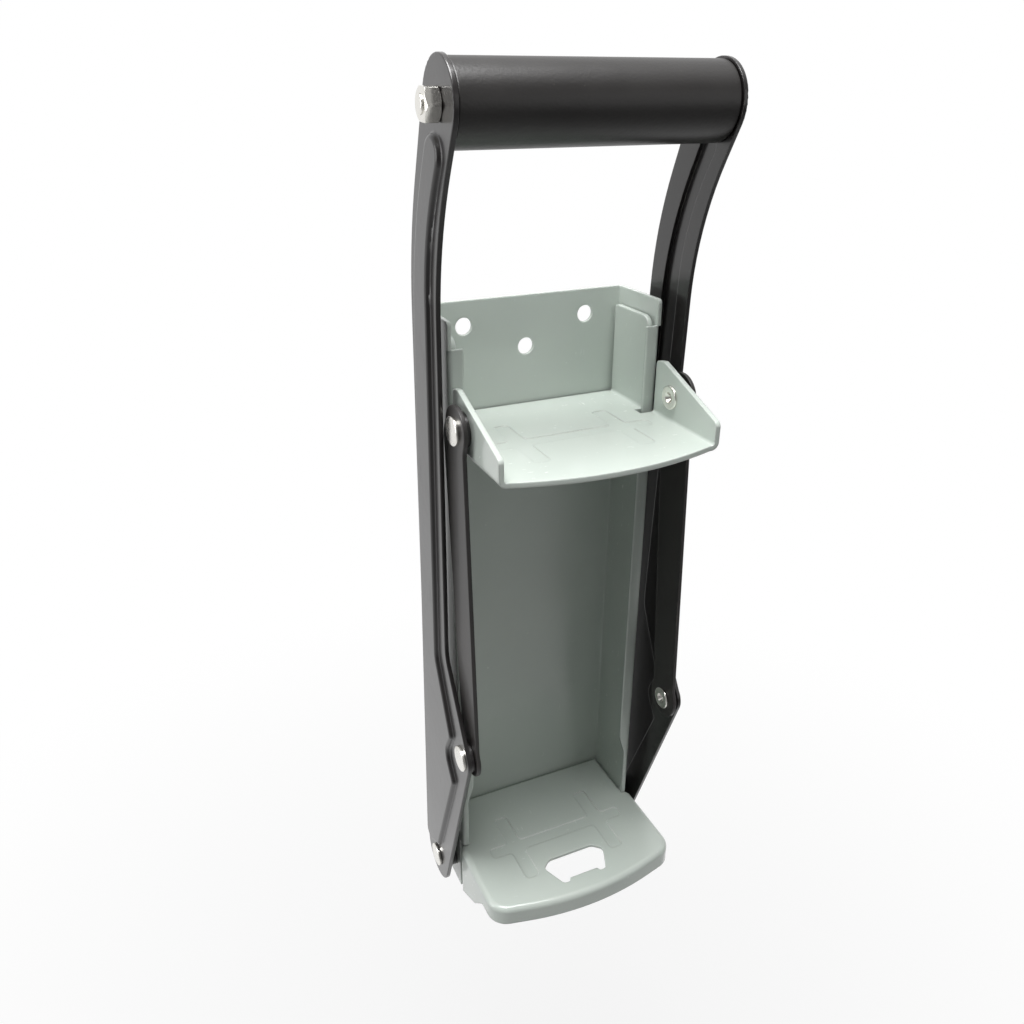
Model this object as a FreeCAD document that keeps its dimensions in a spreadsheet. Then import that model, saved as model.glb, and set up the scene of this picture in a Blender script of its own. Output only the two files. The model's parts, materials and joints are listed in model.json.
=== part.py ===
import FreeCAD, Part
import math
import os
import re
import Sketcher

Vector = FreeCAD.Vector

# Lever can crusher, wall mounted. Millimetres, +Z up, +Y towards the wall, the front is -Y.
# The origin lies on the wall face of the back channel, on its centre line, level with the top
# of the base plate that the can stands on.

# Driving sizes: alias, value, meaning
SIZES = [
    ("channelWide", 77.0, "back channel, outside width"),
    ("channelDeep", 26.8, "back channel, wall face to front of the lips"),
    ("channelSheet", 1.2, "back channel, sheet thickness"),
    ("channelTop", 216.1, "back channel, top edge above the base plate"),
    ("channelDrop", 26.0, "back channel, how far it hangs below the base plate's top"),
    ("channelBend", 0.5, "back channel, inside bend radius"),
    ("lipWide", 5.2, "front lip, width from the channel's outside"),
    ("lipTop", 207.2, "front lip, upper end"),
    ("tipRound", 1.5, "back channel, rounding of the walls' top front corners"),
    ("footDeep", 22.2, "back channel, depth of the walls beside the base plate"),
    ("footGap", 0.3, "back channel, gap between its lips and the base plate's top"),
    ("lipStep", 29.0, "front lip, height where it narrows"),
    ("lipSlope", 6.0, "front lip, height over which it narrows"),
    ("lipNarrow", 2.6, "front lip, width below the step"),
    ("screwHole", 6.0, "wall screw holes, diameter"),
    ("screwSpan", 46.4, "upper screw holes, centre to centre"),
    ("screwHigh", 207.4, "upper screw holes, height"),
    ("screwLow", 198.2, "middle screw hole, height"),
    ("baseSheet", 1.2, "base plate, sheet thickness"),
    ("baseOver", 1.3, "base plate, how much wider than the channel on each side in front of it"),
    ("baseFit", 0.3, "base plate, clearance to each channel wall"),
    ("baseBack", 1.4, "base plate, rear edge behind the front of the wall face"),
    ("baseCorner", 60.9, "base plate, distance of the front corners from the wall"),
    ("baseTip", 70.2, "base plate, where the two front edges would meet"),
    ("baseBow", 2.9, "base plate, radius of the bowed front in half widths"),
    ("baseCornerR", 8.0, "base plate, front corner radius"),
    ("baseBend", 2.2, "base plate, outside bend radius of the skirt"),
    ("baseWiden", 5.0, "base plate, length over which it widens before the channel's walls"),
    ("skirtDeep", 7.8, "front skirt, depth below the top face"),
    ("flangeDeep", 25.0, "side flanges, depth below the top face"),
    ("flangeFront", 24.0, "side flanges, where their lower edge starts to rise, from the wall"),
    ("flangeTip", 41.0, "side flanges, where the rise steepens, from the wall"),
    ("flangeTipDeep", 16.5, "side flanges, depth there"),
    ("skirtStart", 49.4, "front skirt, where it starts, from the wall"),
    ("openerHalf", 13.4, "cap opener slot, half width at the back"),
    ("openerBack", 46.9, "cap opener slot, back edge from the wall"),
    ("openerBackHalf", 9.6, "cap opener slot, half width of the straight back edge"),
    ("openerWaist", 50.2, "cap opener slot, widest place from the wall"),
    ("openerFront", 59.9, "cap opener slot, front edge from the wall"),
    ("openerFrontHalf", 9.3, "cap opener slot, half width at the front"),
    ("openerTab", 1.5, "cap opener slot, how far the biting tab stands in"),
    ("openerTabHalf", 6.0, "cap opener slot, half width of the tab"),
    ("beadDeep", 0.5, "pressed stiffening figure, depth"),
    ("beadIn", 16.0, "pressed figure, inner edge of the legs"),
    ("beadOut", 21.6, "pressed figure, outer edge of the legs"),
    ("beadTip", 29.6, "pressed figure, end of the stubs"),
    ("beadBack", 18.4, "pressed figure, back end of the legs"),
    ("beadCrossBack", 32.4, "pressed figure, back edge of the cross bar"),
    ("beadCrossFront", 37.6, "pressed figure, front edge of the cross bar"),
    ("beadFront", 52.0, "pressed figure, front end of the legs"),
    ("beadR", 1.7, "pressed figure, corner radius"),
    ("trayTop", 177.6, "platform, top face of the tray at rest"),
    ("traySheet", 1.7, "platform, sheet thickness"),
    ("trayBend", 1.0, "platform, inside bend radius"),
    ("trayFit", 0.7, "platform, clearance to the channel's inside"),
    ("slotIn", 1.9, "platform, clearance of the slots beside the lips"),
    ("slotGap", 0.9, "platform, clearance of the slots behind the lips"),
    ("slotFront", 2.3, "platform, clearance of the slots before the lips"),
    ("tongueRelief", 2.6, "platform, width of the relief cuts behind the guide tabs"),
    ("trayCorner", 64.9, "platform, distance of the front corners from the wall"),
    ("noseFit", 0.6, "platform, distance of the bowed front from the bends of the ears"),
    ("trayTip", 76.2, "platform, where the two front edges would meet"),
    ("trayBow", 3.1, "platform, radius of the bowed front in half widths"),
    ("trayBeadShift", 2.5, "platform, how far its pressed figure sits forward of the base's"),
    ("trayBeadDeep", 0.2, "platform, depth of its pressed figure"),
    ("earApexY", 33.4, "ear, highest point from the wall"),
    ("earApexZ", 196.6, "ear, highest point"),
    ("earFrontZ", 184.9, "ear, top of its front edge"),
    ("earInset", 0.3, "ears, how far they stand inside the channel's outside"),
    ("tabTop", 210.0, "guide tab, top edge at rest"),
    ("tabBack", 2.6, "guide tab, back edge from the wall"),
    ("tabR", 4.0, "guide tab, radius of its front top corner"),
    ("pivotY", -12.2, "lower arm pivot, Y"),
    ("pivotZ", -15.0, "lower arm pivot, Z"),
    ("elbowY", -44.6, "elbow between arm and link, Y"),
    ("elbowZ", 63.2, "elbow between arm and link, Z"),
    ("earPinY", -38.7, "rivet between link and ear, Y"),
    ("earPinZ", 185.6, "rivet between link and ear, Z"),
    ("gripY", -41.5, "grip axis, Y"),
    ("gripZ", 276.5, "grip axis, Z"),
    ("linkSheet", 1.4, "link, sheet thickness"),
    ("linkHalf", 6.4, "link, half width of the bar at the elbow"),
    ("linkTopHalf", 8.2, "link, half width of the bar at its upper end"),
    ("linkLean", 1.8, "link, how far the bar's upper end sits behind the ear rivet"),
    ("linkShort", 4.5, "link, how far the bar's upper end sits below the ear rivet"),
    ("linkEyeTop", 8.1, "link, radius of the eye at the ear"),
    ("linkEyeLow", 7.6, "link, radius of the eye at the elbow"),
    ("linkNeckR", 8.0, "link, rounding between bar and eyes"),
    ("linkGap", 1.7, "link, clearance outside the channel's walls"),
    ("edgeRound", 0.4, "rounding of the stamped outer edges"),
    ("armFit", 0.4, "arm, clearance to the ear rivet's head"),
    ("armSheet", 1.5, "arm, sheet thickness"),
    ("armFootR", 11.2, "arm, radius of its lower end"),
    ("armFootY", 0.7, "arm, centre of that radius behind the lower pivot"),
    ("armFootZ", 0.6, "arm, centre of that radius above the lower pivot"),
    ("armElbowR", 6.4, "arm, radius round the elbow"),
    ("armTopR", 12.0, "arm, radius round the grip axis"),
    ("armBackY", -12.8, "arm, upper bend of the back edge, Y"),
    ("armBackZ", 237.8, "arm, upper bend of the back edge, Z"),
    ("armBackR", 118.0, "arm, upper bend of the back edge, radius"),
    ("armFrontY", -35.1, "arm, upper bend of the front edge, Y"),
    ("armFrontZ", 240.1, "arm, upper bend of the front edge, Z"),
    ("armFrontR", 97.0, "arm, upper bend of the front edge, radius"),
    ("shoulderY", -30.6, "arm, where the front edge turns to the elbow, Y"),
    ("shoulderZ", 97.9, "arm, where the front edge turns to the elbow, Z"),
    ("shoulderR", 15.0, "arm, radius of that turn"),
    ("ribHigh", 1.5, "pressed rib of the arm, height"),
    ("ribWall", 1.5, "pressed rib, thickness of its side walls"),
    ("ribCrown", 1.2, "pressed rib, rounding of its outer edge"),
    ("ribRoot", 0.8, "pressed rib, rounding at its root"),
    ("rimBack", 6.2, "flat rim behind the rib at the upper bend"),
    ("rimFront", 4.4, "flat rim before the rib at the upper bend"),
    ("ribTopY", -38.2, "upper end of the rib, Y"),
    ("ribTopZ", 264.0, "upper end of the rib, Z"),
    ("ribTopR", 5.4, "upper end of the rib, radius"),
    ("ribFlareY", -23.8, "rib, where it flares towards the elbow, Y"),
    ("ribFlareZ", 94.0, "rib, where it flares towards the elbow, Z"),
    ("ribHornY", 7.8, "rib, upper horn behind the elbow rivet"),
    ("ribHornZ", 3.4, "rib, upper horn above the elbow rivet"),
    ("ribBayY", 13.9, "rib, deepest point of the bay behind the elbow rivet"),
    ("ribBayZ", 7.6, "rib, deepest point of the bay below the elbow rivet"),
    ("ribHeelY", 6.8, "rib, lower horn behind the elbow rivet"),
    ("ribHeelZ", 17.2, "rib, lower horn below the elbow rivet"),
    ("ribFootFront", 4.6, "rib, front of its lower end before the lower pivot"),
    ("ribFootFrontZ", 9.8, "rib, front of its lower end above the lower pivot"),
    ("ribFootBack", 10.2, "rib, back of its lower end behind the lower pivot"),
    ("ribFootBackZ", 1.5, "rib, back of its lower end above the lower pivot"),
    ("pinR", 2.5, "rivet shanks, radius"),
    ("pinFit", 0.05, "rivet shanks, radial running clearance"),
    ("headR", 4.7, "rivet heads, radius"),
    ("headThick", 1.15, "rivet heads, thickness"),
    ("headRound", 0.45, "rivet heads, rounding of the rim"),
    ("rollR", 4.2, "rolled rivet ends, radius"),
    ("rollThick", 0.85, "rolled rivet ends, thickness"),
    ("rollHoleR", 2.0, "rolled rivet ends, radius of the dimple"),
    ("rollHoleDeep", 1.6, "rolled rivet ends, depth of the dimple"),
    ("sideFit", 0.15, "running clearance along the pivots"),
    ("spacerR", 6.2, "lower pivot spacers, outer radius"),
    ("washerR", 5.8, "elbow washers, outer radius"),
    ("gripR", 11.3, "grip sleeve, outer radius"),
    ("gripEndR", 0.5, "grip sleeve, rounding of its ends"),
    ("gripFit", 0.2, "grip sleeve, clearance to each arm"),
    ("tubeR", 6.5, "grip tube, outer radius"),
    ("tubeWall", 1.2, "grip tube, wall"),
    ("tubeFit", 0.1, "grip sleeve, radial clearance on the tube"),
    ("boltR", 2.5, "handle bolt, radius"),
    ("boltFit", 0.25, "handle bolt, radial clearance in the arms"),
    ("nutAcross", 8.4, "nut and bolt head, across flats"),
    ("nutTurn", 5.0, "nut and bolt head, turned from flats level, degrees"),
    ("nutThick", 4.6, "nut, thickness"),
    ("boltHeadThick", 3.5, "bolt head, thickness"),
    ("boltOver", 0.6, "handle bolt, how far it stands out of the nut"),
]

doc = FreeCAD.newDocument("can_crusher")
sheet = doc.addObject("Spreadsheet::Sheet", "sizes")
for row, (alias, number, meaning) in enumerate(SIZES, start=1):
    sheet.set("A%d" % row, meaning)
    sheet.set("B%d" % row, str(number))
    sheet.setAlias("B%d" % row, alias)
doc.recompute()
ALIASES = {alias for alias, number, meaning in SIZES}

# Distances from the centre plane, the same on both sides, outwards
WALL_IN = "(channelWide/2 - channelSheet)"
EAR_IN = "(channelWide/2 - earInset - traySheet)"
EAR_OUT = "(channelWide/2 - earInset)"
NOSE_HALF = "(channelWide/2 - earInset - traySheet - trayBend - noseFit)"
SLOT_IN = "(channelWide/2 - lipWide - slotIn)"
LINK_IN = "(channelWide/2 + linkGap)"
LINK_OUT = "(channelWide/2 + linkGap + linkSheet)"
ARM_IN = "(channelWide/2 + linkGap + linkSheet + headThick + armFit)"
ARM_OUT = "(channelWide/2 + linkGap + linkSheet + headThick + armFit + armSheet)"
BASE_SIDE = "(channelWide/2 - channelSheet - baseFit)"
BASE_HALF = "(channelWide/2 + baseOver)"


def bound(text):
    """The expression with each size named in the sheet."""
    return re.sub(r"[A-Za-z]\w*", lambda word: "sizes." + word.group() if word.group() in ALIASES
                  else word.group(), text)


def number(text):
    """The present value of an expression."""
    return float(sheet.evalExpression(bound(text)))


def corner(u, v, r=None):
    """An outline's corner, sharp or rounded to the radius r."""
    return ("corner", u, v, r)


def disc(u, v, r, turn=1):
    """An outline's arc round a centre, on the outside of the turn or, with -1, on the inside."""
    return ("disc", u, v, r, turn)


def new_body(label):
    body = doc.addObject("PartDesign::Body", label)
    body.Label = label
    return body


def new_sketch(body, name, plane, offset="0"):
    sketch = body.newObject("Sketcher::SketchObject", body.Label + "_" + name)
    origin = [item for item in body.Origin.OriginFeatures if item.Role == plane][0]
    sketch.AttachmentSupport = (origin, [""])
    sketch.MapMode = "FlatFace"
    sketch.setExpression(".AttachmentOffset.Base.z", bound(offset))
    return sketch


def pin_point(sketch, names, tag, geo, pos, u, v):
    """Ties one point of the sketch to two expressions."""
    for kind, axis, text in (("DistanceX", -2, u), ("DistanceY", -1, v)):
        if text == "0":
            sketch.addConstraint(Sketcher.Constraint("PointOnObject", geo, pos, axis))
            continue
        row = sketch.addConstraint(Sketcher.Constraint(kind, -1, 1, geo, pos, number(text)))
        names.append((row, tag + kind[-1], text))


def name_constraints(sketch, names):
    for row, name, text in names:
        sketch.renameConstraint(row, name)
        sketch.setExpression("Constraints." + name, bound(text))


def draw_outline(sketch, nodes):
    """A closed outline, anticlockwise, of straight lines between corners and arcs."""
    count = len(nodes)
    spots = [Vector(number(node[1]), number(node[2]), 0) for node in nodes]
    reach = [number(node[3]) * node[4] if node[0] == "disc" else 0.0 for node in nodes]
    starts = [None] * count
    ends = [None] * count
    for i in range(count):
        j = (i + 1) % count
        gap = spots[j] - spots[i]
        slope = math.atan2(gap.y, gap.x) - math.asin((reach[j] - reach[i]) / gap.Length)
        normal = Vector(-math.sin(slope), math.cos(slope), 0)
        starts[i] = spots[i] - normal * reach[i]
        ends[i] = spots[j] - normal * reach[j]
    arcs = {}
    for i, node in enumerate(nodes):
        before = i - 1
        if node[0] == "disc":
            arcs[i] = (spots[i], abs(reach[i]), ends[before], starts[i], node[4] > 0)
        elif node[3] is not None:
            radius = number(node[3])
            back = (starts[before] - spots[i]).normalize()
            ahead = (ends[i] - spots[i]).normalize()
            half = back.getAngle(ahead) / 2
            centre = spots[i] + (back + ahead).normalize() * (radius / math.sin(half))
            ends[before] = spots[i] + back * (radius / math.tan(half))
            starts[i] = spots[i] + ahead * (radius / math.tan(half))
            left = ahead.cross(back).z > 0
            arcs[i] = (centre, radius, ends[before], starts[i], left)
    first = sketch.GeometryCount
    sketch.addGeometry([Part.LineSegment(starts[i], ends[i]) for i in range(count)], False)
    names = []
    for i, node in enumerate(nodes):
        line = first + i
        before = first + (i - 1) % count
        tag = "p%d_%d" % (first, i)
        if i not in arcs:
            sketch.addConstraint(Sketcher.Constraint("Coincident", before, 2, line, 1))
            pin_point(sketch, names, tag, line, 1, node[1], node[2])
            continue
        centre, radius, start, stop, left = arcs[i]
        circle = Part.Circle(centre, Vector(0, 0, 1), radius)
        turns = [math.atan2(spot.y - centre.y, spot.x - centre.x) for spot in (start, stop)]
        if not left:
            turns.reverse()
        arc = sketch.addGeometry(Part.ArcOfCircle(circle, turns[0], turns[1]), False)
        entry, leave = (1, 2) if left else (2, 1)
        sketch.addConstraint(Sketcher.Constraint("Tangent", before, 2, arc, entry))
        sketch.addConstraint(Sketcher.Constraint("Tangent", arc, leave, line, 1))
        row = sketch.addConstraint(Sketcher.Constraint("Radius", arc, radius))
        names.append((row, tag + "R", node[3]))
        if node[0] == "disc":
            pin_point(sketch, names, tag, arc, 3, node[1], node[2])
            continue
        point = sketch.addGeometry(Part.Point(spots[i]), True)
        sketch.addConstraint(Sketcher.Constraint("PointOnObject", point, 1, before))
        sketch.addConstraint(Sketcher.Constraint("PointOnObject", point, 1, line))
        pin_point(sketch, names, tag, point, 1, node[1], node[2])
    name_constraints(sketch, names)


def draw_circle(sketch, u, v, r):
    circle = sketch.addGeometry(Part.Circle(Vector(number(u), number(v), 0), Vector(0, 0, 1), number(r)), False)
    names = [(sketch.addConstraint(Sketcher.Constraint("Radius", circle, number(r))), "c%dR" % circle, r)]
    pin_point(sketch, names, "c%d" % circle, circle, 3, u, v)
    name_constraints(sketch, names)


def outline_sketch(body, name, plane, nodes, offset="0"):
    sketch = new_sketch(body, name, plane, offset)
    draw_outline(sketch, nodes)
    return sketch


def circle_sketch(body, name, plane, circles, offset="0"):
    sketch = new_sketch(body, name, plane, offset)
    for u, v, r in circles:
        draw_circle(sketch, u, v, r)
    return sketch


def pad(body, sketch, length, back=False, both=False):
    feature = body.newObject("PartDesign::Pad", sketch.Label + "_pad")
    feature.Profile = sketch
    feature.setExpression("Length", bound(length))
    feature.Reversed = back
    feature.Midplane = both
    sketch.Visibility = False
    doc.recompute()
    return feature


def pocket(body, profile, length, ahead=False, both=False):
    """A cut against the sketch's normal, along it, or to both sides; it must take something away."""
    full = body.Shape.Volume
    feature = body.newObject("PartDesign::Pocket", profile.Label + "_cut")
    feature.Profile = profile
    feature.setExpression("Length", bound(length))
    feature.Reversed = ahead
    feature.Midplane = both
    doc.recompute()
    if not body.Shape.Volume < full:
        raise RuntimeError(feature.Label + " cuts nothing")
    return feature


def fillet(body, name, radius, wanted):
    """Rounds the edges of the body for which wanted(box) is true."""
    tip = body.Tip
    edges = ["Edge%d" % (i + 1) for i, edge in enumerate(tip.Shape.Edges) if wanted(edge.BoundBox)]
    if not edges:
        raise RuntimeError(body.Label + " has no edges for " + name)
    feature = body.newObject("PartDesign::Fillet", body.Label + "_" + name)
    feature.Base = (tip, edges)
    feature.setExpression("Radius", bound(radius))
    doc.recompute()
    return feature


def flat_at(box, axis, place, slack=0.01):
    """Whether an edge's box lies in the plane where the axis has that value."""
    low = getattr(box, axis + "Min")
    high = getattr(box, axis + "Max")
    return abs(low - place) < slack and abs(high - place) < slack


def mirrored(text, side):
    return text if side > 0 else "-1*(%s)" % text


def turned(label, points, side, y="0", z="0"):
    """A piece turned about an axis along X; points are (distance from the centre plane, radius, rounding)."""
    body = new_body(label)
    nodes = [corner(mirrored(x, side), r, round_) for x, r, round_ in points]
    sketch = outline_sketch(body, "profile", "XZ_Plane", nodes if side > 0 else nodes[::-1])
    feature = body.newObject("PartDesign::Revolution", label + "_turned")
    feature.Profile = sketch
    feature.ReferenceAxis = (sketch, ["H_Axis"])
    feature.Angle = 360
    body.setExpression(".Placement.Base.y", bound(y))
    body.setExpression(".Placement.Base.z", bound(z))
    doc.recompute()
    return body


def back_channel():
    """The wall channel: back plate, two walls and in-turned lips that guide the platform."""
    body = new_body("back_channel")
    half = "(channelWide/2)"
    outer = "channelBend + channelSheet"
    edge = "channelSheet*0.4"
    right = [
        (half, "0", outer),
        (WALL_IN, "-channelSheet", "channelBend"),
        (WALL_IN, "-(channelDeep - channelSheet)", "channelBend"),
        ("(channelWide/2 - lipWide)", "-(channelDeep - channelSheet)", edge),
        ("(channelWide/2 - lipWide)", "-channelDeep", edge),
        (half, "-channelDeep", outer),
    ]
    left = [corner(mirrored(u, -1), v, r) for u, v, r in right]
    nodes = [corner(*right[0])] + [left[0], left[5], left[4], left[3], left[2], left[1]]
    nodes += [corner(*right[k]) for k in (1, 2, 3, 4, 5)]
    section = outline_sketch(body, "section", "XY_Plane", nodes, "-channelDrop")
    pad(body, section, "channelTop + channelDrop")

    lip_depth = "(channelSheet + channelBend)"
    cut_length = "channelDeep + 1"
    upper = [
        corner("-1*" + WALL_IN, "lipTop"),
        corner(WALL_IN, "lipTop"),
        corner(WALL_IN, "channelTop + 1"),
        corner("-1*" + WALL_IN, "channelTop + 1"),
    ]
    reach = "channelDeep - %s" % lip_depth
    head = outline_sketch(body, "lip_heads", "XZ_Plane", upper, reach)
    pocket(body, head, cut_length, ahead=True)
    for side, name in ((1, "right"), (-1, "left")):
        square = [("(channelDeep - channelSheet - channelBend)", None), ("channelDeep", None)]
        tip = [(WALL_IN, square[0][0]), (WALL_IN, square[1][0]), (half, square[1][0]), (half, square[0][0])]
        nodes = [corner(mirrored(u, side), "-%s" % v) for u, v in tip]
        end = outline_sketch(body, name + "_wall_tip", "XY_Plane", nodes if side > 0 else nodes[::-1], "lipTop")
        pad(body, end, "channelTop - lipTop")
    narrow = "(channelWide/2 - lipNarrow)"
    wide = "(channelWide/2 - lipWide - 1)"
    side = [
        (WALL_IN, "-channelDrop - 1", None),
        (WALL_IN, "footGap", None),
        (narrow, "footGap", None),
        (narrow, "lipStep - lipSlope", "lipSlope/3"),
        (wide, "lipStep + lipSlope", None),
    ]
    lower = [corner(u, v, r) for u, v, r in side] + [corner(mirrored(u, -1), v, r) for u, v, r in side[::-1]]
    foot = outline_sketch(body, "lip_feet", "XZ_Plane", lower, reach)
    pocket(body, foot, cut_length, ahead=True)
    front = [
        corner("-footDeep", "footGap"),
        corner("-channelDeep - 1", "footGap"),
        corner("-channelDeep - 1", "-channelDrop - 1"),
        corner("-footDeep", "-channelDrop - 1"),
    ]
    below = outline_sketch(body, "wall_feet", "YZ_Plane", front)
    pocket(body, below, "channelWide + 2", both=True)
    tip_y = -number("channelDeep")
    tip_z = number("channelTop")
    fillet(body, "wall_corners", "tipRound",
           lambda box: flat_at(box, "Y", tip_y) and flat_at(box, "Z", tip_z))

    screws = [("screwSpan/2", "screwHigh"), ("-screwSpan/2", "screwHigh"), ("0", "screwLow")]
    holes = circle_sketch(body, "screw_holes", "XZ_Plane", [(u, v, "screwHole/2") for u, v in screws])
    pocket(body, holes, "channelSheet*4", both=True)
    pins = circle_sketch(body, "pivot_holes", "YZ_Plane", [("pivotY", "pivotZ", "pinR + pinFit")])
    pocket(body, pins, "channelWide + 2", both=True)
    return body


def pressed_figure(body, name, top, deep, shift):
    """Shallow stiffening figure: two legs, a cross bar and two stubs."""
    legs = [
        ("beadIn", "beadFront"), ("beadOut", "beadFront"), ("beadOut", "beadCrossFront"),
        ("beadTip", "beadCrossFront"), ("beadTip", "beadCrossBack"), ("beadOut", "beadCrossBack"),
        ("beadOut", "beadBack"), ("beadIn", "beadBack"), ("beadIn", "beadCrossBack"),
    ]
    right = [(u, "-(%s + %s)" % (v, shift)) for u, v in legs]
    left = [("-" + u, v) for u, v in right[::-1]]
    inner = ("beadIn", "-(beadCrossFront + %s)" % shift)
    nodes = [corner(u, v, "beadR") for u, v in right + left + [("-" + inner[0], inner[1]), inner]]
    sketch = outline_sketch(body, name, "XY_Plane", nodes, top)
    pocket(body, sketch, deep)


def base_plate():
    """The plate that the can stands on: a pan with deep side flanges, a skirt and the cap opener slot."""
    body = new_body("base_plate")
    right = [
        (BASE_SIDE, "-baseBack", "channelBend"),
        (BASE_SIDE, "-(footDeep + footGap)", "baseWiden/3"),
        (BASE_HALF, "-(footDeep + footGap + baseWiden)", "baseWiden/2"),
        (BASE_HALF, "-baseCorner", "baseCornerR"),
    ]
    left = [corner(mirrored(u, -1), v, r) for u, v, r in right]
    nodes = left + [corner("0", "-baseTip", BASE_HALF + "*baseBow")] + [corner(*item) for item in right[::-1]]
    plan = outline_sketch(body, "plan", "XY_Plane", nodes)
    pad(body, plan, "flangeDeep", back=True)
    rear = -number("baseBack")
    fillet(body, "bend", "baseBend",
           lambda box: flat_at(box, "Z", 0) and not flat_at(box, "Y", rear))
    inset = body.newObject("PartDesign::SubShapeBinder", "base_plate_inside")
    inset.Support = [(plan, "")]
    inset.setExpression("Offset", bound("-baseSheet"))
    inset.setExpression(".Placement.Base.z", bound("-flangeDeep"))
    inset.Relative = False
    doc.recompute()
    pocket(body, inset, "flangeDeep - baseSheet", ahead=True)

    below = [
        corner("-(baseTip + 1)", "-(flangeDeep + 1)"),
        corner("-flangeFront", "-(flangeDeep + 1)"),
        corner("-flangeFront", "-flangeDeep"),
        corner("-flangeTip", "-flangeTipDeep", "3"),
        corner("-skirtStart", "-skirtDeep", "4"),
        corner("-(baseTip + 1)", "-skirtDeep"),
    ]
    rise = outline_sketch(body, "skirt_rise", "YZ_Plane", below)
    pocket(body, rise, "channelWide*2", both=True)

    right_side = [
        ("openerTabHalf", "-(openerFront - openerTab)", "0.5"),
        ("openerTabHalf + 0.8", "-openerFront", "0.5"),
        ("openerFrontHalf", "-openerFront", "1.9"),
        ("openerHalf", "-openerWaist", "2.4"),
        ("openerBackHalf", "-openerBack", "3.4"),
    ]
    slot = [corner(*item) for item in right_side]
    slot += [corner(mirrored(u, -1), v, r) for u, v, r in right_side[::-1]]
    opener = outline_sketch(body, "opener", "XY_Plane", slot)
    pocket(body, opener, "baseSheet*3", both=True)
    pressed_figure(body, "figure", "0", "beadDeep", "0")
    pins = circle_sketch(body, "pivot_holes", "YZ_Plane", [("pivotY", "pivotZ", "pinR + pinFit")])
    pocket(body, pins, "channelWide", both=True)
    return body


def platform():
    """The sliding jaw: a tray with two rear guide tabs inside the channel and two ears outside it."""
    body = new_body("platform")
    tongue = "(channelWide/2 - channelSheet - trayFit)"
    tongue_front = "-(channelDeep - channelSheet - slotGap)"
    tray_start = "-(channelDeep + slotFront)"
    under = "(trayTop - traySheet)"
    right = [
        ("%s - tongueRelief" % tongue, "-(channelSheet + trayFit)", None),
        ("%s - tongueRelief" % tongue, "-tabBack", None),
        (tongue, "-tabBack", None),
        (tongue, tongue_front, None),
        (SLOT_IN, tongue_front, "0.4"),
        (SLOT_IN, tray_start, "0.4"),
        (EAR_OUT, tray_start, None),
        (EAR_OUT, "-trayCorner", None),
        (NOSE_HALF, "-trayCorner", None),
    ]
    nodes = [corner(mirrored(u, -1), v, r) for u, v, r in right]
    nodes += [corner("0", "-trayTip", NOSE_HALF + "*trayBow")] + [corner(*item) for item in right[::-1]]
    plan = outline_sketch(body, "plan", "XY_Plane", nodes, under)
    pad(body, plan, "traySheet")

    ear_nodes = [
        corner(tray_start, under),
        corner(tray_start, "earApexZ - 0.6", "1.5"),
        corner("-earApexY", "earApexZ", "2.2"),
        corner("-trayCorner", "earFrontZ", "2"),
        corner("-trayCorner", under),
    ]
    tab_nodes = [
        corner(tongue_front, under),
        corner("-tabBack", under),
        corner("-tabBack", "tabTop", "1.2"),
        corner(tongue_front, "tabTop", "tabR"),
    ]
    for side, name in ((1, "right"), (-1, "left")):
        ear = outline_sketch(body, name + "_ear", "YZ_Plane", ear_nodes, mirrored(EAR_IN, side))
        pad(body, ear, "traySheet", back=side < 0)
        tab = outline_sketch(body, name + "_tab", "YZ_Plane", tab_nodes, mirrored(tongue, side))
        pad(body, tab, "traySheet", back=side > 0)
    low = number(under)
    high = number("trayTop")
    ear_in = number(EAR_IN)
    ear_out = number(EAR_OUT)
    tab_out = number(tongue)
    tab_in = tab_out - number("traySheet")

    def along(box, place, level):
        return flat_at(box, "Z", level) and box.XLength < 0.01 and abs(abs(box.XMin) - place) < 0.01

    fillet(body, "inner_bends", "trayBend",
           lambda box: along(box, ear_in, high) or along(box, tab_in, high))
    fillet(body, "outer_bends", "trayBend + traySheet*0.95",
           lambda box: along(box, ear_out, low) or along(box, tab_out, low))
    pressed_figure(body, "figure", "trayTop", "trayBeadDeep", "trayBeadShift")
    pins = circle_sketch(body, "rivet_holes", "YZ_Plane", [("earPinY", "earPinZ", "pinR + pinFit")])
    pocket(body, pins, EAR_OUT + "*2 + 2", both=True)
    return body


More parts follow.
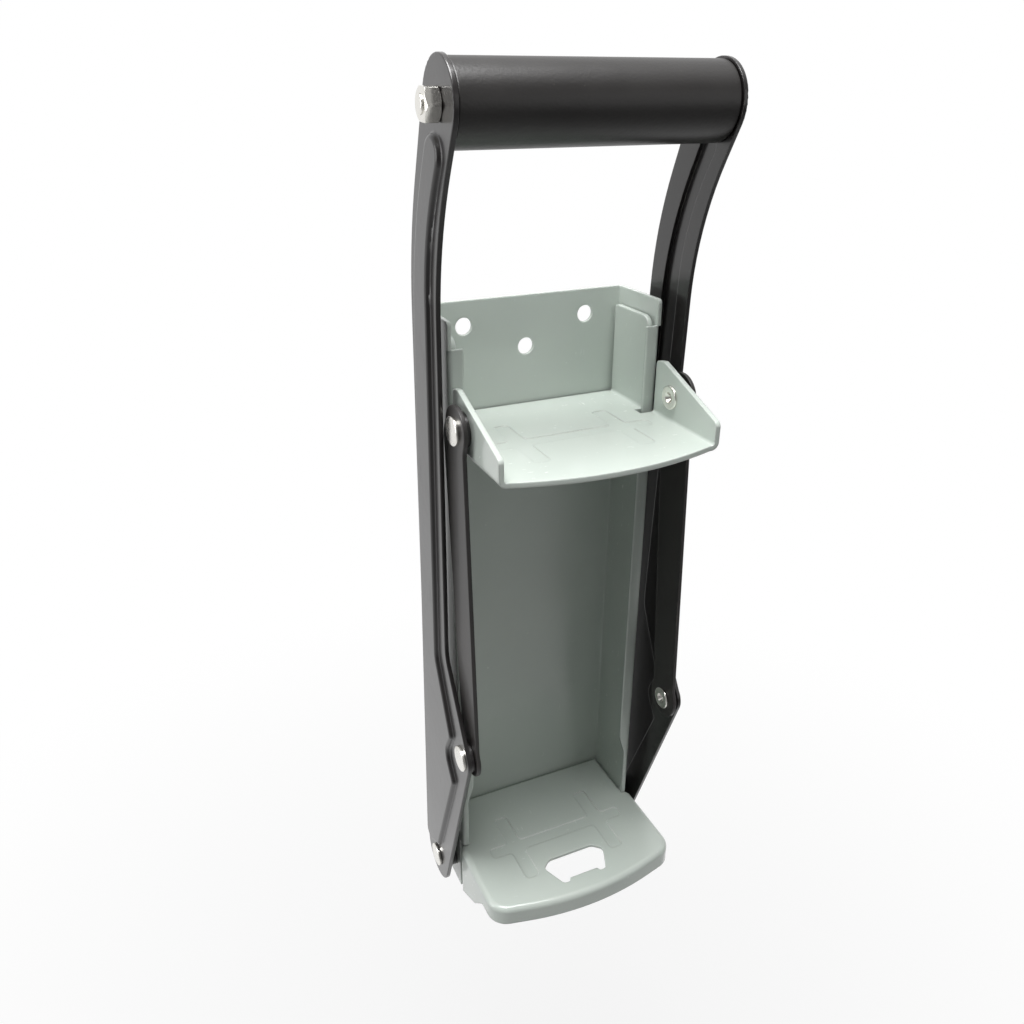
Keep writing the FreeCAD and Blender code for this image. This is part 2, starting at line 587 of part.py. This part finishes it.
def arm(side, name):
    """A pressed side arm of the handle, flat rims and a rib that widens to a panel below the elbow."""
    body = new_body(name)
    inner = mirrored(ARM_IN, side)
    outline = [
        disc("pivotY + armFootY", "pivotZ + armFootZ", "armFootR"),
        corner("armBackY", "armBackZ", "armBackR"),
        disc("gripY", "gripZ", "armTopR"),
        corner("armFrontY", "armFrontZ", "armFrontR"),
        corner("shoulderY", "shoulderZ", "shoulderR"),
        disc("elbowY", "elbowZ", "armElbowR"),
    ]
    panel = [
        corner("pivotY - ribFootFront", "pivotZ + ribFootFrontZ", "3"),
        corner("pivotY + ribFootBack", "pivotZ + ribFootBackZ", "4"),
        corner("armBackY - rimBack", "armBackZ", "armBackR - rimBack"),
        disc("ribTopY", "ribTopZ", "ribTopR"),
        corner("armFrontY + rimFront", "armFrontZ", "armFrontR*0.78"),
        corner("ribFlareY", "ribFlareZ", "12"),
        corner("elbowY + ribHornY", "elbowZ + ribHornZ", "2.4"),
        corner("elbowY + ribBayY", "elbowZ - ribBayZ", "7"),
        corner("elbowY + ribHeelY", "elbowZ - ribHeelZ", "2.4"),
    ]
    crown = side * number(ARM_IN + " + armSheet + ribHigh")
    root = side * number(ARM_OUT)
    plate = outline_sketch(body, "outline", "YZ_Plane", outline, inner)
    pad(body, plate, "armSheet", back=side < 0)
    fillet(body, "outer_edge", "edgeRound", lambda box: flat_at(box, "X", root))
    rib = outline_sketch(body, "rib", "YZ_Plane", panel, inner)
    pad(body, rib, "armSheet + ribHigh", back=side < 0)

    def seen_from_side(box):
        return tuple(round(place, 3) for place in (box.YMin, box.YMax, box.ZMin, box.ZMax))

    edges = [edge.BoundBox for edge in body.Shape.Edges]
    ring = {seen_from_side(box) for box in edges if flat_at(box, "X", crown)}
    fillet(body, "rib_root", "ribRoot", lambda box: flat_at(box, "X", root) and seen_from_side(box) in ring)
    fillet(body, "rib_crown", "ribCrown", lambda box: flat_at(box, "X", crown))
    inset = body.newObject("PartDesign::SubShapeBinder", name + "_rib_inside")
    inset.Support = [(rib, "")]
    inset.setExpression("Offset", bound("-ribWall"))
    doc.recompute()
    pocket(body, inset, "ribHigh", ahead=side > 0)
    holes = circle_sketch(body, "holes", "YZ_Plane", [
        ("pivotY", "pivotZ", "pinR + pinFit"),
        ("elbowY", "elbowZ", "pinR + pinFit"),
        ("gripY", "gripZ", "boltR + boltFit"),
    ], inner)
    pocket(body, holes, "armSheet*4", both=True)
    return body


def link(side, name):
    """The flat bar from the arm's elbow up to the platform's ear."""
    body = new_body(name)
    ends = [disc("elbowY", "elbowZ", "linkHalf"), disc("earPinY + linkLean", "earPinZ - linkShort", "linkTopHalf")]
    bar = outline_sketch(body, "bar", "YZ_Plane", ends, mirrored(LINK_IN, side))
    pad(body, bar, "linkSheet", back=side < 0)
    eyes = circle_sketch(body, "eyes", "YZ_Plane", [
        ("elbowY", "elbowZ", "linkEyeLow"),
        ("earPinY", "earPinZ", "linkEyeTop"),
    ], mirrored(LINK_IN, side))
    pad(body, eyes, "linkSheet", back=side < 0)
    fillet(body, "necks", "linkNeckR", lambda box: box.YLength < 0.01 and box.ZLength < 0.01)
    outside = side * number(LINK_OUT)
    fillet(body, "outer_edge", "edgeRound", lambda box: flat_at(box, "X", outside))
    holes = circle_sketch(body, "holes", "YZ_Plane", [
        ("elbowY", "elbowZ", "pinR + pinFit"),
        ("earPinY", "earPinZ", "pinR + pinFit"),
    ], mirrored(LINK_IN, side))
    pocket(body, holes, "linkSheet*4", both=True)
    return body


def rivet_end(seat):
    """Points of a rolled rivet end inside the seat face, from the axis outwards."""
    tip = "(%s - rollThick)" % seat
    floor = "(%s - rollThick + rollHoleDeep)" % seat
    return [
        (floor, "0", None),
        (floor, "rollHoleR*0.5", None),
        (tip, "rollHoleR", "rollThick*0.3"),
        (tip, "rollR", "rollThick*0.6"),
        (seat, "rollR", None),
    ]


def rivet_head(seat):
    """Points of a flat rivet head outside the seat face, from the rim to the axis."""
    top = "(%s + headThick)" % seat
    return [(seat, "headR", None), (top, "headR", "headRound"), (top, "0", None)]


def rivets(side, name):
    """The rivets, spacers and washers of one side, inwards from the arm."""
    pivot_seat = "(%s + sideFit)" % ARM_OUT
    flange_in = "(%s - baseSheet)" % BASE_SIDE
    pivot = rivet_end(flange_in) + [(flange_in, "pinR", None), (pivot_seat, "pinR", None)]
    turned(name + "_pivot_rivet", (pivot + rivet_head(pivot_seat))[::-1], side, "pivotY", "pivotZ")

    spacer_in = "(channelWide/2)"
    spacer_out = "(%s - sideFit)" % ARM_IN
    bore = "pinR + pinFit"
    spacer = [(spacer_in, bore, None), (spacer_in, "spacerR", "0.4"),
              (spacer_out, "spacerR", "0.4"), (spacer_out, bore, None)]
    turned(name + "_pivot_spacer", spacer[::-1], side, "pivotY", "pivotZ")

    link_seat = "(%s - sideFit)" % LINK_IN
    elbow = rivet_end(link_seat) + [(link_seat, "pinR", None), (ARM_OUT, "pinR", None)]
    turned(name + "_elbow_rivet", (elbow + rivet_head(ARM_OUT))[::-1], side, "elbowY", "elbowZ")

    washer_in = "(%s + sideFit)" % LINK_OUT
    washer = [(washer_in, bore, None), (washer_in, "washerR", None), (ARM_IN, "washerR", None), (ARM_IN, bore, None)]
    turned(name + "_elbow_washer", washer[::-1], side, "elbowY", "elbowZ")

    step = "(%s + sideFit)" % EAR_OUT
    washer = [(step, bore, None), (step, "washerR", None), (LINK_IN, "washerR", None), (LINK_IN, bore, None)]
    turned(name + "_ear_washer", washer[::-1], side, "earPinY", "earPinZ")

    head = [(step, "0", None), (step, "pinR", None), (LINK_OUT, "pinR", None)] + rivet_head(LINK_OUT)
    turned(name + "_ear_rivet_head", head[::-1], side, "earPinY", "earPinZ")

    tail = rivet_end(EAR_IN) + [(EAR_IN, "pinR", None), (EAR_OUT, "pinR", None), (EAR_OUT, "0", None)]
    turned(name + "_ear_rivet_tail", tail[::-1], side, "earPinY", "earPinZ")


def grip():
    """The grip sleeve and the tube that keeps the arms apart."""
    bore = "tubeR + tubeFit"
    end = "(%s - gripFit)" % ARM_IN
    sleeve = [("-1*" + end, bore, None), (end, bore, None), (end, "gripR", "gripEndR"),
              ("-1*" + end, "gripR", "gripEndR")]
    turned("grip_sleeve", sleeve, 1, "gripY", "gripZ")
    inside = "tubeR - tubeWall"
    tube = [("-1*" + ARM_IN, inside, None), (ARM_IN, inside, None), (ARM_IN, "tubeR", None),
            ("-1*" + ARM_IN, "tubeR", None)]
    turned("grip_tube", tube, 1, "gripY", "gripZ")


def hexagon():
    """Corners of a hexagon with flats up and down, slightly turned, round the bolt's axis."""
    return [corner("nutAcross/sqrt(3)*cos(nutTurn + %d)" % turn, "nutAcross/sqrt(3)*sin(nutTurn + %d)" % turn)
            for turn in range(0, 360, 60)]


def chamfer_hexagon(body, face, side, slant="-"):
    """Turns the corners of the hexagon down at its outer face, or with slant + at its inner face."""
    rim = "nutAcross*0.47"
    far = "nutAcross*0.7"
    slope = "(%s %s (nutAcross*0.7 - nutAcross*0.47)*0.55)" % (face, slant)
    nodes = [corner(mirrored(face, side), rim), corner(mirrored(slope, side), far), corner(mirrored(face, side), far)]
    forward = (side > 0) == (slant == "-")
    sketch = outline_sketch(body, "chamfer", "XZ_Plane", nodes[::-1] if forward else nodes)
    groove = body.newObject("PartDesign::Groove", body.Label + "_turned_corners")
    full = body.Shape.Volume
    groove.Profile = sketch
    groove.ReferenceAxis = (sketch, ["H_Axis"])
    groove.Angle = 360
    doc.recompute()
    if not body.Shape.Volume < full:
        raise RuntimeError(groove.Label + " cuts nothing")


def place_on_grip(body):
    body.setExpression(".Placement.Base.y", bound("gripY"))
    body.setExpression(".Placement.Base.z", bound("gripZ"))
    doc.recompute()


def handle_nut():
    """The hexagon nut outside the left arm."""
    body = new_body("handle_nut")
    plan = outline_sketch(body, "plan", "YZ_Plane", hexagon(), "-1*" + ARM_OUT)
    pad(body, plan, "nutThick", back=True)
    chamfer_hexagon(body, "(%s + nutThick)" % ARM_OUT, -1)
    chamfer_hexagon(body, ARM_OUT, -1, "+")
    bore = circle_sketch(body, "bore", "YZ_Plane", [("0", "0", "boltR + pinFit")], "-1*" + ARM_OUT)
    pocket(body, bore, "nutThick*3", both=True)
    place_on_grip(body)
    return body


def handle_bolt():
    """The through bolt: hexagon head outside the right arm, shank through both arms and the tube."""
    body = new_body("handle_bolt")
    plan = outline_sketch(body, "head", "YZ_Plane", hexagon(), ARM_OUT)
    pad(body, plan, "boltHeadThick")
    chamfer_hexagon(body, "(%s + boltHeadThick)" % ARM_OUT, 1)
    shank = circle_sketch(body, "shank", "YZ_Plane", [("0", "0", "boltR")], ARM_OUT)
    pad(body, shank, ARM_OUT + "*2 + nutThick + boltOver", back=True)
    tip = -number(ARM_OUT + " + nutThick + boltOver")
    fillet(body, "tip", "boltR*0.2", lambda box: flat_at(box, "X", tip))
    place_on_grip(body)
    return body


back_channel()
base_plate()
platform()
for arm_side, side_name in ((-1, "left"), (1, "right")):
    arm(arm_side, side_name + "_arm")
    link(arm_side, side_name + "_link")
    rivets(arm_side, side_name)
grip()
handle_bolt()
handle_nut()
doc.recompute()

for item in doc.Objects:
    if "Invalid" in item.State or "Error" in item.State:
        raise RuntimeError(item.Label + " failed: " + ", ".join(item.State))
    if item.TypeId == "Sketcher::SketchObject" and item.solve() != 0:
        raise RuntimeError(item.Label + " has no solution")

os.makedirs("parts", exist_ok=True)
bodies = [item for item in doc.Objects if item.TypeId == "PartDesign::Body"]
for item in bodies:
    shape = item.Shape
    if shape.isNull() or not shape.isValid() or len(shape.Solids) != 1:
        raise RuntimeError(item.Label + " is not one valid solid")
for item in bodies:
    item.Shape.exportStep("parts/%s.step" % item.Label)
    box = item.Shape.BoundBox
    print("%-24s %8.1f mm3  x %6.2f %6.2f  y %6.2f %6.2f  z %6.2f %6.2f" % (
        item.Label, item.Shape.Volume, box.XMin, box.XMax, box.YMin, box.YMax, box.ZMin, box.ZMax))
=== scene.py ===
import json
import math

import bpy
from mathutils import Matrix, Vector

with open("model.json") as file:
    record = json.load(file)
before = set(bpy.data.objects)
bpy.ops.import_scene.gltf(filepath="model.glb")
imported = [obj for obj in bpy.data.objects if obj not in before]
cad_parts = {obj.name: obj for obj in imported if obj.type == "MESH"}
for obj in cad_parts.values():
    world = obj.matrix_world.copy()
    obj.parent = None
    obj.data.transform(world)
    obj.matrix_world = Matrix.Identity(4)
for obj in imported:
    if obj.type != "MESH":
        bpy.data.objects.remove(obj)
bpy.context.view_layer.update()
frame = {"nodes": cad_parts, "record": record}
print("frame loaded:", len(frame["nodes"]), "nodes")


class Wire:  # an output socket that takes part in sums
    def __init__(self, maker, socket):
        self.maker = maker
        self.socket = socket

    def maths(self, operation, first, second):
        return self.maker.node("ShaderNodeMath", {"operation": operation}, {0: first, 1: second})

    def __add__(self, other):
        return self.maths("ADD", self, other)

    def __radd__(self, other):
        return self.maths("ADD", other, self)

    def __sub__(self, other):
        return self.maths("SUBTRACT", self, other)

    def __rsub__(self, other):
        return self.maths("SUBTRACT", other, self)

    def __mul__(self, other):
        return self.maths("MULTIPLY", self, other)

    def __rmul__(self, other):
        return self.maths("MULTIPLY", other, self)

    def atLeast(self, other):
        return self.maths("MAXIMUM", self, other)


class Maker:  # the nodes of one material, or of the world
    def __init__(self, name, owner=None):
        self.owner = owner or bpy.data.materials.new(name)
        self.owner.use_nodes = True
        self.tree = self.owner.node_tree
        self.tree.nodes.clear()

    def node(self, kind, settings=None, sockets=None, out=0):
        made = self.tree.nodes.new(kind)
        for key, value in (settings or {}).items():
            setattr(made, key, value)
        for key, value in (sockets or {}).items():
            target = made.inputs[key]
            if isinstance(value, Wire):
                self.tree.links.new(value.socket, target)
            else:
                target.default_value = value
        return Wire(self, made.outputs[out]) if made.outputs else None

    def place(self):
        return self.node("ShaderNodeTexCoord", out="Object")

    def stretched(self, place, scale):
        return self.node("ShaderNodeMapping", {"vector_type": "POINT"}, {"Vector": place, "Scale": scale})

    def noise(self, place, scale, detail=3.0, roughness=0.5):
        return self.node("ShaderNodeTexNoise", {"noise_dimensions": "3D"},
                         {"Vector": place, "Scale": scale, "Detail": detail, "Roughness": roughness})

    def band(self, value, limits):  # 0 below the first limit, 1 above the second
        low, high = limits
        return self.node("ShaderNodeMapRange", {"clamp": True, "interpolation_type": "SMOOTHSTEP"},
                         {"Value": value, "From Min": low, "From Max": high, "To Min": 0.0, "To Max": 1.0})

    def tint(self, factor, first, second):
        return self.node("ShaderNodeMix", {"data_type": "RGBA"}, {0: factor, 6: first, 7: second}, out=2)

    def roundedEdge(self, radius):
        return self.node("ShaderNodeBevel", {"samples": 6}, {"Radius": radius})

    def edgeMask(self, rounded, limits):
        flat = self.node("ShaderNodeNewGeometry", out="Normal")
        match = self.node("ShaderNodeVectorMath", {"operation": "DOT_PRODUCT"},
                          {0: rounded, 1: flat}, out="Value")
        return self.band(1.0 - match, limits)

    def bumped(self, height, depth, rounded=None):
        sockets = {"Strength": 1.0, "Distance": depth, "Height": height}
        if rounded:
            sockets["Normal"] = rounded
        return self.node("ShaderNodeBump", None, sockets)

    def painted(self, colour, rough, bump, extra):
        sockets = {"Base Color": colour, "Roughness": rough, "Normal": bump}
        return self.finish(self.node("ShaderNodeBsdfPrincipled", None, {**sockets, **extra}))

    def finish(self, shader):
        self.node("ShaderNodeOutputMaterial", None, {"Surface": shader})
        return self.owner


def rgb(red, green, blue):  # from the 0-255 values of a screen colour to scene light
    def linear(value):
        part = value / 255.0
        return part / 12.92 if part <= 0.04045 else ((part + 0.055) / 1.055) ** 2.4
    return (linear(red), linear(green), linear(blue), 1.0)


patchBand = (0.3, 0.7)  # where a soft cloud turns from one colour into the next

enamel = {
    "colour": rgb(195, 203, 196),
    "patch": rgb(190, 199, 192),
    "patchScale": 16.0,
    # painted highlight: a near-white colour laid along the enamel's edges
    "edge": rgb(232, 236, 232),
    "edgeBand": (0.02, 0.30),
    "edgeShare": 0.8,
    "edgeRadius": 0.0009,  # metres
    "grime": rgb(140, 150, 142),
    "grimeScale": 55.0,
    "grimeBand": (0.55, 0.90),
    "grimeShare": 0.15,
    "rub": rgb(218, 224, 218),
    "fleckScale": 330.0,
    "fleckStretch": (1.0, 2.5, 1.0),
    "fleckBand": (0.70, 0.78),
    "fleckShare": 0.45,
    "scratchScale": 110.0,
    "scratchStretch": (20.0, 1.2, 1.2),
    "scratchBand": (0.73, 0.77),
    "scratchPlaces": (0.50, 0.62),
    "scratchShare": 0.5,
    "roughness": 0.22,
    "patchRough": 0.10,
    "fleckRough": 0.12,
    "fleckRoughBand": (0.60, 0.78),
    "scratchRough": 0.2,
    "peelScale": 420.0,
    "peelDepth": 0.000007,  # metres
    "coat": 0.35,
    "coatRough": 0.08,
    "index": 1.5,  # of refraction
}


def enamelFinish(name, look):
    maker = Maker(name)
    place = maker.place()
    cloud = maker.noise(place, look["patchScale"], detail=2.0)
    peel = maker.noise(place, look["peelScale"], detail=2.0)
    fleckPlace = maker.stretched(place, look["fleckStretch"])
    fleck = maker.noise(fleckPlace, look["fleckScale"], detail=4.0, roughness=0.6)
    scratchPlace = maker.stretched(place, look["scratchStretch"])
    scratch = maker.noise(scratchPlace, look["scratchScale"], detail=2.0, roughness=0.4)
    rounded = maker.roundedEdge(look["edgeRadius"])
    edge = maker.edgeMask(rounded, look["edgeBand"])
    scuffed = maker.band(scratch, look["scratchBand"]) * maker.band(cloud, look["scratchPlaces"])
    grimy = maker.band(maker.noise(place, look["grimeScale"]), look["grimeBand"])
    flecked = maker.band(fleck, look["fleckBand"])
    colour = maker.tint(maker.band(cloud, patchBand), look["colour"], look["patch"])
    colour = maker.tint(grimy * look["grimeShare"], colour, look["grime"])
    # painted highlight along the enamel's rounded edges
    colour = maker.tint(edge * look["edgeShare"], colour, look["edge"])
    colour = maker.tint(flecked * look["fleckShare"], colour, look["rub"])
    colour = maker.tint(scuffed * look["scratchShare"], colour, look["rub"])
    rough = look["roughness"] + (cloud - 0.5) * look["patchRough"]
    rough = rough + maker.band(fleck, look["fleckRoughBand"]) * look["fleckRough"]
    rough = rough + scuffed * look["scratchRough"]
    bump = maker.bumped(peel, look["peelDepth"], rounded)
    return maker.painted(colour, rough, bump, {
        "Coat Weight": look["coat"], "Coat Roughness": look["coatRough"], "IOR": look["index"]})


armPaint = {
    "colour": rgb(20, 18, 18),
    "patch": rgb(28, 25, 25),
    "patchScale": 34.0,
    # chipped paint at the arm's edges, showing grey metal
    "edge": rgb(150, 145, 138),
    "edgeBand": (0.05, 0.35),
    "edgeShare": 0.75,
    "edgeRadius": 0.0005,  # metres
    "chipScale": 120.0,
    "chipStretch": (1.0, 1.0, 0.35),
    "chipBand": (0.50, 0.60),
    "dust": rgb(98, 92, 88),
    "dustScale": 900.0,
    "dustBand": (0.72, 0.80),
    "dustShare": 0.35,
    "roughness": 0.30,
    "patchRough": 0.10,
    "chipRough": 0.12,
    "chipRoughBand": (0.55, 0.8),
    "wornRough": 0.2,
    "peelScale": 300.0,
    "peelDepth": 0.00003,  # metres
    "coat": 0.3,
    "coatRough": 0.10,
    "index": 1.5,  # of refraction
}

# a lighter copy of the arm paint: the lighter colour is painted light for the links' brighter lit look,
# and the higher roughness is their satin finish
linkPaintLitCopy = {
    **armPaint,
    "colour": rgb(34, 32, 31),
    "patch": rgb(42, 39, 38),
    "roughness": 0.46,
    "coat": 0.1,
}


def armFinish(name, look):
    maker = Maker(name)
    place = maker.place()
    cloud = maker.noise(place, look["patchScale"])
    peel = maker.noise(place, look["peelScale"], detail=2.0)
    chipPlace = maker.stretched(place, look["chipStretch"])
    chips = maker.noise(chipPlace, look["chipScale"], detail=6.0, roughness=0.7)
    specks = maker.noise(place, look["dustScale"], detail=2.0, roughness=0.7)
    rounded = maker.roundedEdge(look["edgeRadius"])
    edge = maker.edgeMask(rounded, look["edgeBand"])
    worn = edge * maker.band(chips, look["chipBand"])
    dusty = maker.band(specks, look["dustBand"])
    colour = maker.tint(maker.band(cloud, patchBand), look["colour"], look["patch"])
    colour = maker.tint(dusty * look["dustShare"], colour, look["dust"])
    colour = maker.tint(worn * look["edgeShare"], colour, look["edge"])
    rough = look["roughness"] + (cloud - 0.5) * look["patchRough"]
    rough = rough + maker.band(chips, look["chipRoughBand"]) * look["chipRough"]
    rough = rough + worn * look["wornRough"]
    bump = maker.bumped(peel, look["peelDepth"], rounded)
    return maker.painted(colour, rough, bump, {
        "Coat Weight": look["coat"], "Coat Roughness": look["coatRough"], "IOR": look["index"]})


gripRubber = {
    "colour": rgb(23, 21, 20),
    "patch": rgb(31, 29, 28),
    "patchScale": 40.0,
    "dust": rgb(92, 88, 83),
    "dustScale": 700.0,
    "dustBand": (0.70, 0.80),
    "dustShare": 0.30,
    "lineScale": 500.0,
    "lineStretch": (0.05, 1.0, 1.0),
    "roughness": 0.40,
    "patchRough": 0.12,
    "lineRough": 0.08,
    "grainScale": 1100.0,
    "grainDepth": 0.00005,  # metres
    "index": 1.5,  # of refraction
}


def gripFinish(name, look):
    maker = Maker(name)
    place = maker.place()
    cloud = maker.noise(place, look["patchScale"])
    grain = maker.noise(place, look["grainScale"])
    lines = maker.noise(maker.stretched(place, look["lineStretch"]), look["lineScale"], detail=2.0)
    specks = maker.noise(place, look["dustScale"], roughness=0.7)
    dusty = maker.band(specks, look["dustBand"])
    colour = maker.tint(maker.band(cloud, patchBand), look["colour"], look["patch"])
    colour = maker.tint(dusty * look["dustShare"], colour, look["dust"])
    rough = look["roughness"] + (cloud - 0.5) * look["patchRough"] + (lines - 0.5) * look["lineRough"]
    bump = maker.bumped(grain, look["grainDepth"])
    return maker.painted(colour, rough, bump, {"IOR": look["index"]})


nickel = {
    "colour": rgb(228, 226, 220),
    "stain": rgb(150, 146, 136),
    "stainScale": 190.0,
    "stainBand": (0.55, 0.78),
    "stainShare": 0.35,
    "roughness": 0.16,
    "stainRough": 0.16,
    "stainRoughBand": (0.45, 0.8),
    "scratchRough": 0.08,
    "scratchScale": 900.0,
    "scratchStretch": (1.0, 6.0, 1.0),
    "scratchDepth": 0.000012,  # metres
    "edgeRadius": 0.00025,  # metres
}

tubeSteel = {
    **nickel,
    "colour": rgb(178, 177, 172),
    "stain": rgb(112, 108, 102),
    "stainShare": 0.8,
    "roughness": 0.36,
    "scratchDepth": 0.00004,  # metres
    "edgeRadius": 0.0003,  # metres
}


def metalFinish(name, look):
    maker = Maker(name)
    place = maker.place()
    cloud = maker.noise(place, look["stainScale"], detail=4.0)
    scratch = maker.noise(maker.stretched(place, look["scratchStretch"]), look["scratchScale"])
    rounded = maker.roundedEdge(look["edgeRadius"])
    stained = maker.band(cloud, look["stainBand"])
    colour = maker.tint(stained * look["stainShare"], look["colour"], look["stain"])
    rough = look["roughness"] + maker.band(cloud, look["stainRoughBand"]) * look["stainRough"]
    rough = rough + (scratch - 0.5) * look["scratchRough"]
    bump = maker.bumped(scratch, look["scratchDepth"], rounded)
    return maker.painted(colour, rough, bump, {"Metallic": 1.0})


finishes = {
    "frame_enamel": enamelFinish("frameEnamel", enamel),
    "arm_black": armFinish("armPaint", armPaint),
    "grip_black": gripFinish("gripBlack", gripRubber),
    "nickel": metalFinish("nickel", nickel),
    "steel_tube": metalFinish("tubeSteel", tubeSteel),
}

# the links take the lighter copy of the arm paint, with painted light in its colour
litCopyLinks = armFinish("linkPaintLitCopy", linkPaintLitCopy)
for part in frame["record"]["subparts"]:
    piece = frame["nodes"][part["node"]]
    piece.data.materials.clear()
    isLink = part["node"] in ("left_link", "right_link")
    piece.data.materials.append(litCopyLinks if isLink else finishes[part["material_slot"]])
print("finishes on", len(frame["nodes"]), "nodes")


studio = {
    "floorHigh": -0.225,  # metres, below the handle at its lowest
    "floorSize": 6.0,
    "floorColour": (0.50, 0.50, 0.50, 1.0),
    "floorPatch": (0.46, 0.46, 0.46, 1.0),
    "patchScale": 3.0,
    "floorRough": 0.5,
    "shadowReach": (0.05, 0.55),  # metres from the object over which its shadow fades
    "shadowDepth": 0.13,
    "mirrorReach": (-0.45, 0.02),  # from front to rear, where shiny pieces begin to see a white floor
    "skyLevel": 0.18,
    "skySlope": 0.8,  # how much a high heading counts as one to the rear
    "skySpread": (-0.25, 0.55),  # the same for a white sky, by heading
    "frontGloss": 0.10,  # how bright shiny pieces see the side behind the viewer
    "white": (1.0, 1.0, 1.0, 1.0),
    "aim": (0.0, -0.03, 0.14),
}

lamps = {
    "topBox": {"power": 8.4, "size": 0.40, "place": (-0.10, -0.11, 0.80)},
    "leftBox": {"power": 3.5, "size": 0.6, "place": (-1.0, 0.12, 0.32)},
    "fillBox": {"power": 1.0, "size": 0.6, "place": (0.62, -0.95, 0.42)},
}


def seenAsBackdrop(maker):  # 1 for rays that show the floor or sky itself
    ray = maker.node("ShaderNodeLightPath", out="Is Camera Ray")
    through = maker.node("ShaderNodeLightPath", out="Is Transmission Ray")
    return ray.atLeast(through)


def floorFinish():
    maker = Maker("paleFloor")
    place = maker.place()
    cloud = maker.noise(place, studio["patchScale"])
    away = maker.node("ShaderNodeVectorMath", {"operation": "LENGTH"}, {0: place}, out="Value")
    deep = maker.node("ShaderNodeSeparateXYZ", None, {0: place}, out="Y")
    colour = maker.tint(cloud, studio["floorColour"], studio["floorPatch"])
    matt = maker.node("ShaderNodeBsdfDiffuse", None, {"Color": colour, "Roughness": studio["floorRough"]})
    white = maker.node("ShaderNodeEmission", None, {"Color": studio["white"], "Strength": 1.0})
    plain = 1.0 - studio["shadowDepth"] * (1.0 - maker.band(away, studio["shadowReach"]))
    glossy = maker.node("ShaderNodeLightPath", out="Is Glossy Ray")
    mirrored = glossy * maker.band(deep, studio["mirrorReach"])
    seen = seenAsBackdrop(maker) * plain
    mixed = maker.node("ShaderNodeMixShader", None, {0: seen.atLeast(mirrored), 1: matt, 2: white})
    return maker.finish(mixed)


bpy.ops.object.select_all(action="DESELECT")
bpy.ops.mesh.primitive_plane_add(size=studio["floorSize"], location=(0, 0, studio["floorHigh"]))
floor = bpy.context.object
floor.name = "floor"
floor.data.materials.append(floorFinish())

world = bpy.data.worlds.new("studio")
bpy.context.scene.world = world
sky = Maker(None, world)
dim = sky.node("ShaderNodeBackground", None, {"Color": studio["white"], "Strength": studio["skyLevel"]})
bright = sky.node("ShaderNodeBackground", None, {"Color": studio["white"], "Strength": 1.0})
heading = sky.node("ShaderNodeTexCoord", out="Generated")
depth = sky.node("ShaderNodeSeparateXYZ", None, {0: heading}, out="Y")
high = sky.node("ShaderNodeSeparateXYZ", None, {0: heading}, out="Z")
rear = sky.band(depth + high * studio["skySlope"], studio["skySpread"])
behind = rear * (1.0 - studio["frontGloss"]) + studio["frontGloss"]
shiny = sky.node("ShaderNodeLightPath", out="Is Glossy Ray") * behind
mixed = sky.node("ShaderNodeMixShader", None, {0: seenAsBackdrop(sky).atLeast(shiny), 1: dim, 2: bright})
sky.node("ShaderNodeOutputWorld", None, {"Surface": mixed})

for name, box in lamps.items():
    bpy.ops.object.light_add(type="AREA", location=box["place"])
    lamp = bpy.context.object
    lamp.name = name
    lamp.data.energy = box["power"]
    lamp.data.size = box["size"]
    aim = Vector(studio["aim"]) - Vector(box["place"])
    lamp.rotation_euler = aim.to_track_quat("-Z", "Y").to_euler()

camera = {
    "place": (-0.13026, -0.2781, 0.28142),
    "tilt": 64.17,  # degrees
    "turn": -24.29,  # degrees
    "lens": 31.18,  # mm
    "sensor": 36.0,  # mm
    "nearest": 0.01,  # metres
}
bpy.ops.object.camera_add(location=camera["place"])
eye = bpy.context.object
eye.name = "viewer"
eye.rotation_euler = (math.radians(camera["tilt"]), 0.0, math.radians(camera["turn"]))
eye.data.sensor_width = camera["sensor"]
eye.data.lens = camera["lens"]
eye.data.clip_start = camera["nearest"]
bpy.context.scene.camera = eye
bpy.context.scene.view_settings.view_transform = "Standard"
print("studio ready")
